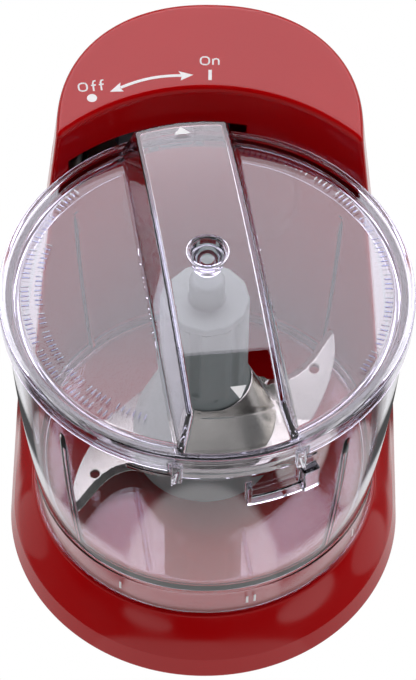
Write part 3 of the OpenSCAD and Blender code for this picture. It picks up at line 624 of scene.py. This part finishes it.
def lid_grid():
    """Grid about the axis whose angles close in on the walls of the grip."""
    rad = levels((5, 8, 0.5), (8, 14, 1.2), (14, 23, 0.6), (23, 60, 1.3), (60, 63, 0.6), (63, 72.8, 0.4))
    zed = levels((118.3, 120.4, 0.4), (120.4, 125, 1.5), (125, 130, 0.5), (130, 133, 0.8),
                 (133, 137.6, 0.35), (137.6, 148, 1.3), (148, 158.2, 0.5))
    knots = (0, 4, 4.8, 13.4, 15.4, 22.4)
    counts = (4, 2, 8, 5, 20)
    walls = [np.degrees(np.arcsin(min(k, 22.4) / np.maximum(rad, 27.0))) for k in knots]
    quarter = [walls[n] + (walls[n + 1] - walls[n]) * i / c
               for n, c in enumerate(counts) for i in range(c)]
    rest = 30
    quarter += [walls[-1] + (90 - walls[-1]) * (i / rest) for i in range(rest)]
    quarter = np.stack(quarter, 1)
    half = np.concatenate([quarter, np.full((len(rad), 1), 90.0), 180 - quarter[:, :0:-1]], 1)
    ang = np.concatenate([half, half + 180], 1) + GRIP_REST
    r = np.broadcast_to(rad[:, None, None], ang.shape + (len(zed),))
    a = np.broadcast_to(np.radians(ang)[:, :, None], r.shape)
    z = np.broadcast_to(zed, r.shape)
    return -r * np.sin(a), r * np.cos(a), z


verts, faces, normals = mesh_field(lid_field, lid_grid(), True)
add_mesh("lid_clear", verts, faces, "lid", M["lid_plastic"], ["lid"], normals)


# ---------------------------------------------------------------- knife
def many_sided(x, y, radius, edge):
    """Prism with twelve sides and rounded corners."""
    flat = radius * math.cos(math.radians(15))
    out = None
    for k in range(6):
        a = math.radians(15 + 30 * k)
        d = np.abs(x * math.cos(a) + y * math.sin(a)) - flat
        out = d if out is None else round_max(out, d, edge)
    return out


def hub_field(x, y, z):
    r = np.hypot(x, y)
    flare = np.interp(z, (46.5, 56, 58, 60, 62.5, 69.5, 78.5, 86.5, 90),
                      (25.4, 25.4, 25.3, 25.0, 24.3, 21.8, 18.3, 15.4, 14))
    skirt = (r - flare) * 0.93
    skirt = round_max(np.maximum(skirt, z - 90), HUB_FOOT - z, 0.8)
    column = np.maximum(many_sided(x, y, HUB_R, 0.5), np.maximum(z - HUB_TOP, 60 - z))
    solid = round_min(skirt, column, 0.8)
    for k in range(6):
        a = math.radians(15 + 60 * k)
        flute = np.hypot(x - 15 * math.cos(a), y - 15 * math.sin(a)) - 2.1
        flute = round_max(flute, 92 - z, 1.5)
        solid = round_max(solid, -flute, 0.4)
    solid = round_max(solid, z - HUB_TOP, 0.3)
    return np.maximum(solid, HUB_BORE - r)


hub_grid = round_grid(levels((8.6, 18, 0.45), (18, 30.5, 0.9)), around(1.5),
                      levels((46, 49, 0.5), (49, 56, 1.5), (56, 64, 0.8), (64, 86, 2), (86, 95, 0.5),
                             (95, 126, 3), (126, 128.8, 0.35)))
verts, faces, normals = mesh_field(hub_field, hub_grid, True)
add_mesh("hub_frosted", verts, faces, "knife", M["frosted_plastic"],
         ["blade_hub"], normals)


def cap_field(x, y, z):
    r = np.hypot(x, y)
    plate = round_max(many_sided(x, y, HUB_R, 0.5), z - HUB_Z, 0.8)
    plate = np.maximum(plate, HUB_TOP + 0.03 - z)
    plug = np.maximum(r - 9.2, np.maximum(z - 129, 124.5 - z))
    neck = round_max(r - NECK_R, z - NECK_Z, 1.6)
    neck = np.maximum(neck, 130 - z)
    return round_min(np.minimum(plate, plug), neck, 0.8)


cap_grid = box_grid(levels((-16, 16, 0.5)), levels((-16, 16, 0.5)),
                    levels((124, 127, 1), (127, 133, 0.4), (133, 139, 1), (139, 142.2, 0.4)))
verts, faces, normals = mesh_field(cap_field, cap_grid, False)
add_mesh("hub_cap_frosted", verts, faces, "knife", M["frosted_plastic"],
         ["hub_cap"], normals)


BLADE = [(-8, 23.5), (-13.6, 22.8), (-19, 20.6), (-24, 16.6), (-29, 11.6), (-34, 6.2), (-38, 0.6),
         (-41.2, -6), (-43.8, -12.8), (-45.4, -19.6), (-45.9, -26), (-45.2, -31.6), (-43.6, -32.6),
         (-41.4, -29.8), (-39.4, -26.4), (-36.8, -22.4), (-33.8, -18.8), (-30.4, -16.2), (-26.6, -14.9),
         (-22.6, -15), (-10, -18), (-6, 0)]
CUTTING_EDGE = BLADE[12:20]


def to_segments(x, y, points, closed):
    """Distance to a chain of segments, and whether the point lies inside them."""
    best = np.full(x.shape, 1e9)
    inside = np.zeros(x.shape, bool)
    count = len(points) if closed else len(points) - 1
    for i in range(count):
        (ax, ay), (bx, by) = points[i], points[(i + 1) % len(points)]
        dx, dy = bx - ax, by - ay
        t = np.clip(((x - ax) * dx + (y - ay) * dy) / (dx * dx + dy * dy), 0, 1)
        best = np.minimum(best, np.hypot(x - ax - t * dx, y - ay - t * dy))
        if ay != by:
            crosses = (ay > y) != (by > y)
            inside ^= crosses & (x < dx * (y - ay) / dy + ax)
    return best, inside


def smooth_loop(points, parts):
    """Catmull-Rom curve through a closed list of points."""
    out, n = [], len(points)
    for i in range(n):
        p = [np.array(points[(i + k) % n], float) for k in (-1, 0, 1, 2)]
        for k in range(parts):
            t = k / parts
            out.append(tuple(0.5 * (2 * p[1] + (p[2] - p[0]) * t
                                    + (2 * p[0] - 5 * p[1] + 4 * p[2] - p[3]) * t * t
                                    + (3 * p[1] - p[0] - 3 * p[2] + p[3]) * t ** 3)))
    return out


BLADE_LOOP = smooth_loop(BLADE, 3)


def blade_field(low, turn, rise):
    """One sickle-shaped blade, ground along its inner curve, rising toward its tip."""
    def field(x, y, z):
        x, y = turned(x, y, turn)
        r = np.hypot(x, y)
        gap, inside = to_segments(x, y, BLADE_LOOP, True)
        sickle = np.where(inside, -gap, gap)
        edge = to_segments(x, y, CUTTING_EDGE, False)[0]
        edges = np.minimum(r - BLADE_ROOT, sickle)
        edges = np.maximum(edges, BLADE_BORE - r)
        hole = np.hypot(x - BLADE_HOLE[0], y - BLADE_HOLE[1])
        edges = round_max(edges, BLADE_HOLE_R - hole, 0.1)
        z = z - rise * np.clip((2 - y) / 34, 0, 1) * smooth(r, 22, 30)
        ground = np.where(r < 25, 1, np.clip(edge / GRIND_W, 0, 1))
        top = z - low - EDGE_T - GROUND_T * ground
        return round_max(edges, np.maximum(top, low - z), 0.12)
    return field


for name, low, turn, rise in (("lower", 49.5, 0, 0.0), ("upper", 61.0, 180, 8.0)):
    xs, ys = levels((-47, 18, 0.5)), levels((-34, 25, 0.5))
    if turn:
        xs, ys = -xs[::-1], -ys[::-1]
    grid = box_grid(xs, ys, levels((low - 0.5, low + 2.1 + rise, 0.3)))
    verts, faces, normals = mesh_field(blade_field(low, turn, rise), grid, False)
    add_mesh(f"blade_{name}_ground", verts, faces, "knife", M["blade_steel"],
             [f"blade_{name}"], normals)


# ---------------------------------------------------------------- bearing cup
def lathe(name, profile, body, material, stands_for):
    """A closed profile of (radius, height) turned about the bowl's axis."""
    rings, verts, faces, segments = [], [], [], 160
    for r, z in profile:
        if r < 1e-6:
            rings.append([len(verts)] * segments)
            verts.append((0, 0, z))
        else:
            rings.append(list(range(len(verts), len(verts) + segments)))
            verts += [(r * math.cos(2 * math.pi * i / segments),
                       r * math.sin(2 * math.pi * i / segments), z) for i in range(segments)]
    for n in range(len(profile) - 1):
        a, b = rings[n], rings[n + 1]
        for i in range(segments):
            j = (i + 1) % segments
            loop = [a[i], a[j], b[j], b[i]]
            loop = [v for k, v in enumerate(loop) if v != loop[k - 1]]
            faces.append(loop)
    return add_mesh(name, verts, faces, body, material, stands_for, angle=35)


def wrapped_sheet(name, section, start, end, body, material):
    """A closed section of (radius, height) swept about the bowl's axis between two bearings."""
    steps, count = 96, len(section)
    verts, faces = [], []
    for i in range(steps + 1):
        a = math.radians(start + (end - start) * i / steps)
        verts += [(-r * math.sin(a), r * math.cos(a), z) for r, z in section]
    for i in range(steps):
        for k in range(count):
            m = (k + 1) % count
            faces.append([i * count + k, i * count + m, (i + 1) * count + m, (i + 1) * count + k])
    faces.append(list(range(count))[::-1])
    faces.append([steps * count + k for k in range(count)])
    return add_mesh(name, verts, faces, body, material, [], angle=35)


wrapped_sheet("blade_upper_collar",
              [(25.2, 61.7), (24.5, 62.9), (22.0, 69.9), (18.5, 78.9), (15.75, 86.3), (15.9, 86.7),
               (16.2, 86.6), (19.0, 79.2), (22.5, 70.2), (25.0, 63.2), (26.6, 62.3), (26.6, 61.7)],
              152, 278, "knife", M["blade_steel"])

lathe("bearing_cup_clear",
      [(0, 147.0), (3.6, 147.0), (4.6, 147.5), (5.3, 148.8), (5.7, 151.0), (6.1, 155.4), (6.9, 155.7),
       (7.15, 156.0), (7.15, 156.5), (6.9, 156.8), (6.1, 156.8), (5.8, 156.4), (5.5, 154.2), (5.2, 153.8),
       (4.6, 153.7), (4.2, 153.2), (3.2, 150.2), (2.9, 150.0), (2.6, 150.2), (2.5, 152.2), (2.2, 152.6),
       (0, 152.7)],
      "lid_centre", M["lid_plastic"], ["lid_bearing_cup"])


# ---------------------------------------------------------------- printed and raised marks
def slab(outline, thickness, place, bevel):
    """Flat mark from a plan outline: a base loop, a slightly smaller top loop, and its faces.
    place maps (u, v, lift) to a point."""
    n = len(outline)
    area = sum(outline[i][0] * outline[(i + 1) % n][1] - outline[(i + 1) % n][0] * outline[i][1]
               for i in range(n))
    if area < 0:
        outline = outline[::-1]
    tops = []
    for i in range(n):
        p0, p1, p2 = (np.array(outline[(i + k) % n], float) for k in (-1, 0, 1))
        d1, d2 = p1 - p0, p2 - p1
        n1 = np.array([-d1[1], d1[0]]) / max(np.linalg.norm(d1), 1e-9)
        n2 = np.array([-d2[1], d2[0]]) / max(np.linalg.norm(d2), 1e-9)
        tops.append(p1 + (n1 + n2) / max(1 + n1 @ n2, 0.35) * bevel)
    verts = [place(u, v, 0.0) for u, v in outline] + [place(u, v, thickness) for u, v in tops]
    faces = [[i, (i + 1) % n, n + (i + 1) % n, n + i] for i in range(n)]
    faces.append([n + i for i in range(n)])
    faces.append([i for i in reversed(range(n))])
    return verts, faces


def stroke(points, width, closed=False):
    """Outline of a line of some width along points, as one loop (open) or quads (closed)."""
    pts = [np.array(p, float) for p in points]
    n = len(pts)
    left, right = [], []
    for i in range(n):
        a = pts[(i - 1) % n] if closed or i else pts[i]
        b = pts[(i + 1) % n] if closed or i < n - 1 else pts[i]
        d = (b - a) / max(np.linalg.norm(b - a), 1e-9)
        side = np.array([-d[1], d[0]]) * width / 2
        left.append(tuple(pts[i] + side))
        right.append(tuple(pts[i] - side))
    if not closed:
        return [left + right[::-1]]
    return [[left[i], left[(i + 1) % n], right[(i + 1) % n], right[i]] for i in range(n)]


def add_marks(name, outlines, thickness, place, body, material, bevel):
    """One piece made of a slab for each outline."""
    verts, faces = [], []
    for outline in outlines:
        v, f = slab(outline, thickness, place, bevel)
        faces += [[i + len(verts) for i in loop] for loop in f]
        verts += v
    return add_mesh(name, verts, faces, body, material, angle=30)


def on_top(u, v, lift):
    """A place on the tower's top: u degrees anticlockwise from +Y, v the radius about the bowl."""
    a = math.radians(u)
    x, y = -v * math.sin(a), v * math.cos(a)
    z = tower_top(y)
    return (x, y - lift * math.sin(TOWER_TILT), z + lift * math.cos(TOWER_TILT) - 0.02)


def disc(cx, cy, r, squeeze):
    turns = [2 * math.pi * k / 40 for k in range(40)]
    return [(cx + r * squeeze * math.cos(a), cy + r * math.sin(a)) for a in turns]


DEG = math.degrees(1 / MARK_R)  # degrees round the circle in one millimetre
arrow_r = 78.9
arc = [(a, arrow_r + 0.6 * math.sin(math.pi * (a - 8) / 14.5)) for a in np.linspace(23.2, 7.2, 24)]
head_left = [(26.2, 78.6), (22.6, 80.9), (23.3, 78.8), (22.8, 76.8)]
head_right = [(4.4, 78.8), (8.0, 80.8), (7.3, 78.8), (7.8, 76.7)]
marks = [disc(31.0, MARK_R, 1.75, DEG), *stroke(arc, 1.15), head_left, head_right]
left, right = 0.2 - MARK_W * DEG, 0.2 + MARK_W * DEG
marks.append([(left, 76.4), (right, 76.4), (right, 80.9), (left, 80.9)])


def letters(centre, radius, shapes, width, tilt):
    """Short word made of simple strokes, each shape in millimetres from its middle."""
    a = math.radians(centre)
    cx, cy = -radius * math.sin(a), radius * math.cos(a)
    c, s = math.cos(math.radians(tilt)), math.sin(math.radians(tilt))
    out = []
    for points, closed in shapes:
        for loop in stroke(points, width, closed):
            flat = [(cx + u * c - v * s, cy + u * s + v * c) for u, v in loop]
            out.append([(math.degrees(math.atan2(-x, y)), math.hypot(x, y)) for x, y in flat])
    return out


def oval(cx, cy, w, h, count=20):
    return [(cx + w / 2 * math.copysign(abs(math.cos(t)) ** 0.75, math.cos(t)),
             cy + h / 2 * math.copysign(abs(math.sin(t)) ** 0.75, math.sin(t)))
            for t in (2 * math.pi * k / count for k in range(count))]


def letter_f(x, h):
    return [([(x + 1.1, h / 2), (x + 0.35, h / 2 - 0.1), (x, h / 2 - 0.9), (x, -h / 2)], False),
            ([(x - 0.75, 0.35), (x + 0.95, 0.35)], False)]


off = [(oval(-3.0, 0, 2.9, 3.4), True), *letter_f(0.6, 4.4), *letter_f(3.3, 4.4)]
on = [(oval(-1.7, 0, 3.0, 3.4), True),
      ([(1.1, -1.7), (1.1, 0.9)], False),
      ([(1.1, 0.2), (1.6, 0.8), (2.3, 1.0), (2.9, 0.7), (3.1, 0.1), (3.1, -1.7)], False)]
marks += letters(29.4, 83.6, off, MARK_W, 9) + letters(0.3, 84.8, on, MARK_W, 0)
add_marks("top_marks", marks, 0.07, on_top, "base", M["white_print"], 0.03)


def on_grip(u, v, lift):
    """A place on the grip's arched top, in the grip's own directions."""
    a = math.radians(GRIP_REST)
    x, y = u * math.cos(a) - v * math.sin(a), v * math.cos(a) + u * math.sin(a)
    return (x, y, grip_crown(v) + lift - 0.02)


rear_arrow = [(-2.85, 55.2), (2.85, 55.2), (0, 59.3)]
front_arrow = [(-1.0, -52.4), (4.4, -52.4), (1.7, -57.0)]
add_marks("grip_marks", [rear_arrow, front_arrow], 0.08, on_grip, "lid",
          M["white_print"], 0.04)


def on_plate(u, v, lift):
    """A place on the lid's plate, u degrees round from the grip's rear end and v the radius."""
    a = math.radians(u + GRIP_REST)
    return (-v * math.sin(a), v * math.cos(a), LID_Z + lift - 0.02)


def dashes(start, end, radius, seed):
    """Generic raised bars along an arc where the real lid has moulded words."""
    rng = np.random.default_rng(seed)
    out, a, step, high, wide = [], start, math.degrees(1 / radius), 2.6, 0.55
    while a < end:
        for _ in range(rng.integers(3, 8)):
            out.append([(a, radius - high / 2), (a + wide * step, radius - high / 2),
                        (a + wide * step, radius + high / 2), (a, radius + high / 2)])
            a += 2.0 * step
        a += 1.8 * step
    return out


rows = dashes(38, 142, 61.2, 4) + dashes(62, 140, 56.6, 5) + dashes(-132, -30, 61.2, 6)
add_marks("lid_raised_dashes", rows, 0.16, on_plate, "lid", M["lid_plastic"], 0.06)


def on_skirt(u, v, lift):
    """A place on the bowl's skirt, u degrees from its front and v the height."""
    a = math.radians(u)
    r = TICK_R + lift
    return (r * math.sin(a), -r * math.cos(a), v)


half = math.degrees(0.45 / 61.2)
ticks = [[(a - half, 33), (a + half, 33), (a + half, 37), (a - half, 37)] for a in (-28, 15, 17.6, 60, 180)]
add_marks("skirt_ticks", ticks, 0.22, on_skirt, "bowl", M["white_print"], 0.12)


# ---------------------------------------------------------------- the other CAD nodes
slots = {}
for sub in frame["record"].get("subparts", []):
    slots[sub.get("node") or sub.get("name")] = sub.get("material_slot") or sub.get("material")
for name, node in frame["nodes"].items():
    if node.hide_render:
        continue
    slot = slots.get(name, "grey_plastic")
    material = M.get(slot, M["grey_plastic"])
    node.data.materials.clear()
    node.data.materials.append(material)


# ---------------------------------------------------------------- floor, light and camera
def faded(tree, source, low, high, most=1.0):
    """A smooth climb from 0 at low to most at high. With high below low, it falls."""
    node = tree.nodes.new("ShaderNodeMapRange")
    node.interpolation_type = "SMOOTHSTEP"
    node.inputs["From Min"].default_value = low
    node.inputs["From Max"].default_value = high
    node.inputs["To Max"].default_value = most
    tree.links.new(source, node.inputs["Value"])
    return node.outputs["Result"]


def reckoned(tree, kind, *sources):
    """The result of one math node."""
    node = tree.nodes.new("ShaderNodeMath")
    node.operation = kind
    for k, source in enumerate(sources):
        tree.links.new(source, node.inputs[k])
    return node.outputs["Value"]


def stage_floor():
    """Plain white floor to the camera. Reflections see light and dark patches on it."""
    bpy.ops.mesh.primitive_grid_add(x_subdivisions=2, y_subdivisions=2, size=30, location=(0, 0, 0))
    floor = bpy.context.object
    floor.name = "floor"
    material = bpy.data.materials.new("floor")
    material.use_nodes = True
    tree = material.node_tree
    tree.nodes.clear()
    links = tree.links

    def apart(x, y):
        node = tree.nodes.new("ShaderNodeVectorMath")
        node.operation = "DISTANCE"
        node.inputs[1].default_value = (AXIS.x + x, AXIS.y + y, 0)
        links.new(coords.outputs["Object"], node.inputs[0])
        return node.outputs["Value"]

    out = tree.nodes.new("ShaderNodeOutputMaterial")
    plain = tree.nodes.new("ShaderNodeEmission")
    mirror = tree.nodes.new("ShaderNodeEmission")
    path = tree.nodes.new("ShaderNodeLightPath")
    mix = tree.nodes.new("ShaderNodeMixShader")
    coords = tree.nodes.new("ShaderNodeTexCoord")
    # each spot: its place about the axis, the radius where it is dark, where it is full, and its strength
    spots = ((0, 0, 0.150, 0.120, 0.08), (0, 0, 0.086, 0.079, 0.75), (0, -0.085, 0.056, 0.046, 0.95),
             (-0.073, -0.165, 0.038, 0.032, 1.25), (0.115, -0.105, 0.043, 0.037, 1.25),
             (-0.101, -0.009, 0.026, 0.021, 0.4), (0.103, -0.018, 0.026, 0.021, 0.55))
    parts = [faded(tree, apart(x, y), dark, full, most) for x, y, dark, full, most in spots]
    parts.append(faded(tree, apart(0, 0), 0.31, 0.35, 0.8))
    split = tree.nodes.new("ShaderNodeSeparateXYZ")
    links.new(coords.outputs["Object"], split.inputs["Vector"])
    behind = faded(tree, split.outputs["Y"], AXIS.y + 0.005, AXIS.y + 0.03, 0.85)
    parts.append(reckoned(tree, "MINIMUM", behind, faded(tree, apart(0, 0), 0.098, 0.106)))
    whole = parts[0]
    for part in parts[1:]:
        whole = reckoned(tree, "MAXIMUM", whole, part)
    links.new(whole, mirror.inputs["Strength"])
    links.new(path.outputs["Is Glossy Ray"], mix.inputs["Fac"])
    links.new(plain.outputs["Emission"], mix.inputs[1])
    links.new(mirror.outputs["Emission"], mix.inputs[2])
    links.new(mix.outputs["Shader"], out.inputs["Surface"])
    floor.data.materials.append(material)


def stage_world():
    """White surroundings to the camera. Reflections see a card at each side and a pale horizon."""
    world = bpy.data.worlds.new("studio")
    bpy.context.scene.world = world
    world.use_nodes = True
    tree = world.node_tree
    tree.nodes.clear()
    links = tree.links

    def background(strength):
        node = tree.nodes.new("ShaderNodeBackground")
        node.inputs["Strength"].default_value = strength
        return node

    coords = tree.nodes.new("ShaderNodeTexCoord")
    split = tree.nodes.new("ShaderNodeSeparateXYZ")
    links.new(coords.outputs["Generated"], split.inputs["Vector"])
    x, z = split.outputs["X"], split.outputs["Z"]
    sides = faded(tree, reckoned(tree, "ABSOLUTE", x), 0.80, 0.90, CARDS)
    cards = reckoned(tree, "MULTIPLY", sides, faded(tree, z, 0.75, 0.6))
    light = reckoned(tree, "MAXIMUM", cards, faded(tree, z, 0.66, 0.5, HORIZON))

    out = tree.nodes.new("ShaderNodeOutputWorld")
    seen, ambient, gloss, through = (background(k) for k in (1.0, AMBIENT, 1.0, 1.0))
    links.new(light, gloss.inputs["Strength"])
    links.new(faded(tree, z, 0.55, 0.25), through.inputs["Strength"])
    path = tree.nodes.new("ShaderNodeLightPath")
    shown = ambient.outputs["Background"]
    for ray, view in (("Is Glossy Ray", gloss), ("Is Transmission Ray", through), ("Is Camera Ray", seen)):
        mix = tree.nodes.new("ShaderNodeMixShader")
        links.new(path.outputs[ray], mix.inputs["Fac"])
        links.new(shown, mix.inputs[1])
        links.new(view.outputs["Background"], mix.inputs[2])
        shown = mix.outputs["Shader"]
    links.new(shown, out.inputs["Surface"])


def area_light(name, place, aim, width, height, radiance):
    """A soft box of the given radiance: power is radiance times area times pi."""
    data = bpy.data.lights.new(name, "AREA")
    data.shape = "RECTANGLE"
    data.size, data.size_y = width, height
    data.energy = radiance * width * height * math.pi
    data.use_shadow = True
    light = bpy.data.objects.new(name, data)
    light.location = place
    light.rotation_euler = (Vector(aim) - Vector(place)).to_track_quat("-Z", "Y").to_euler()
    bpy.context.scene.collection.objects.link(light)
    light.visible_camera = False
    light.visible_glossy = False
    light.visible_transmission = False
    return light


CARDS, HORIZON, AMBIENT = 1.0, 0.5, 0.3  # brightness of the surroundings
stage_floor()
stage_world()
middle = (AXIS.x, AXIS.y, 0.1)
area_light("softbox_back", (0, 0.8, 1.65), middle, 1.7, 1.1, 4.0)
screen = area_light("screen", (0, AXIS.y + 0.565, 0.56), (0, AXIS.y + 0.515, 0.1), 1.7, 0.88, 3.4)
screen.visible_glossy = True
screen.visible_diffuse = False
screen.visible_transmission = True
screen.data.color = (0.97, 0.93, 1.0)
area_light("softbox_left", (-1.25, -0.1, 0.75), middle, 0.5, 0.9, 1.0)
area_light("softbox_right", (1.25, -0.1, 0.75), middle, 0.5, 0.9, 1.3)

ELEVATION, ROLL, DISTANCE = math.radians(53.6), math.radians(0.99), 1.116
target = Vector((AXIS.x + 0.00073, AXIS.y, 0.1071))
forward = Vector((0, math.cos(ELEVATION), -math.sin(ELEVATION)))
up = Vector((0, math.sin(ELEVATION), math.cos(ELEVATION)))
right = Vector((1, 0, 0))
c, s = math.cos(ROLL), math.sin(ROLL)
cam_x, cam_y = right * c + up * s, up * c - right * s
data = bpy.data.cameras.new("camera")
camera = bpy.data.objects.new("camera", data)
bpy.context.scene.collection.objects.link(camera)
place = target - forward * DISTANCE
camera.matrix_world = Matrix((
    (cam_x.x, cam_y.x, -forward.x, place.x),
    (cam_x.y, cam_y.y, -forward.y, place.y),
    (cam_x.z, cam_y.z, -forward.z, place.z),
    (0, 0, 0, 1)))
data.sensor_fit = "AUTO"
data.sensor_width = 36
data.lens = 172.37647
data.shift_x, data.shift_y = -0.000588, 0.000441
data.clip_start, data.clip_end = 0.05, 60
bpy.context.scene.camera = camera

scene = bpy.context.scene
scene.view_settings.view_transform = "Standard"
scene.cycles.use_denoising = True
scene.cycles.max_bounces = 24
scene.cycles.transmission_bounces = 20
scene.cycles.transparent_max_bounces = 24
scene.cycles.glossy_bounces = 6
scene.cycles.diffuse_bounces = 3
scene.cycles.caustics_reflective = False
scene.cycles.caustics_refractive = False
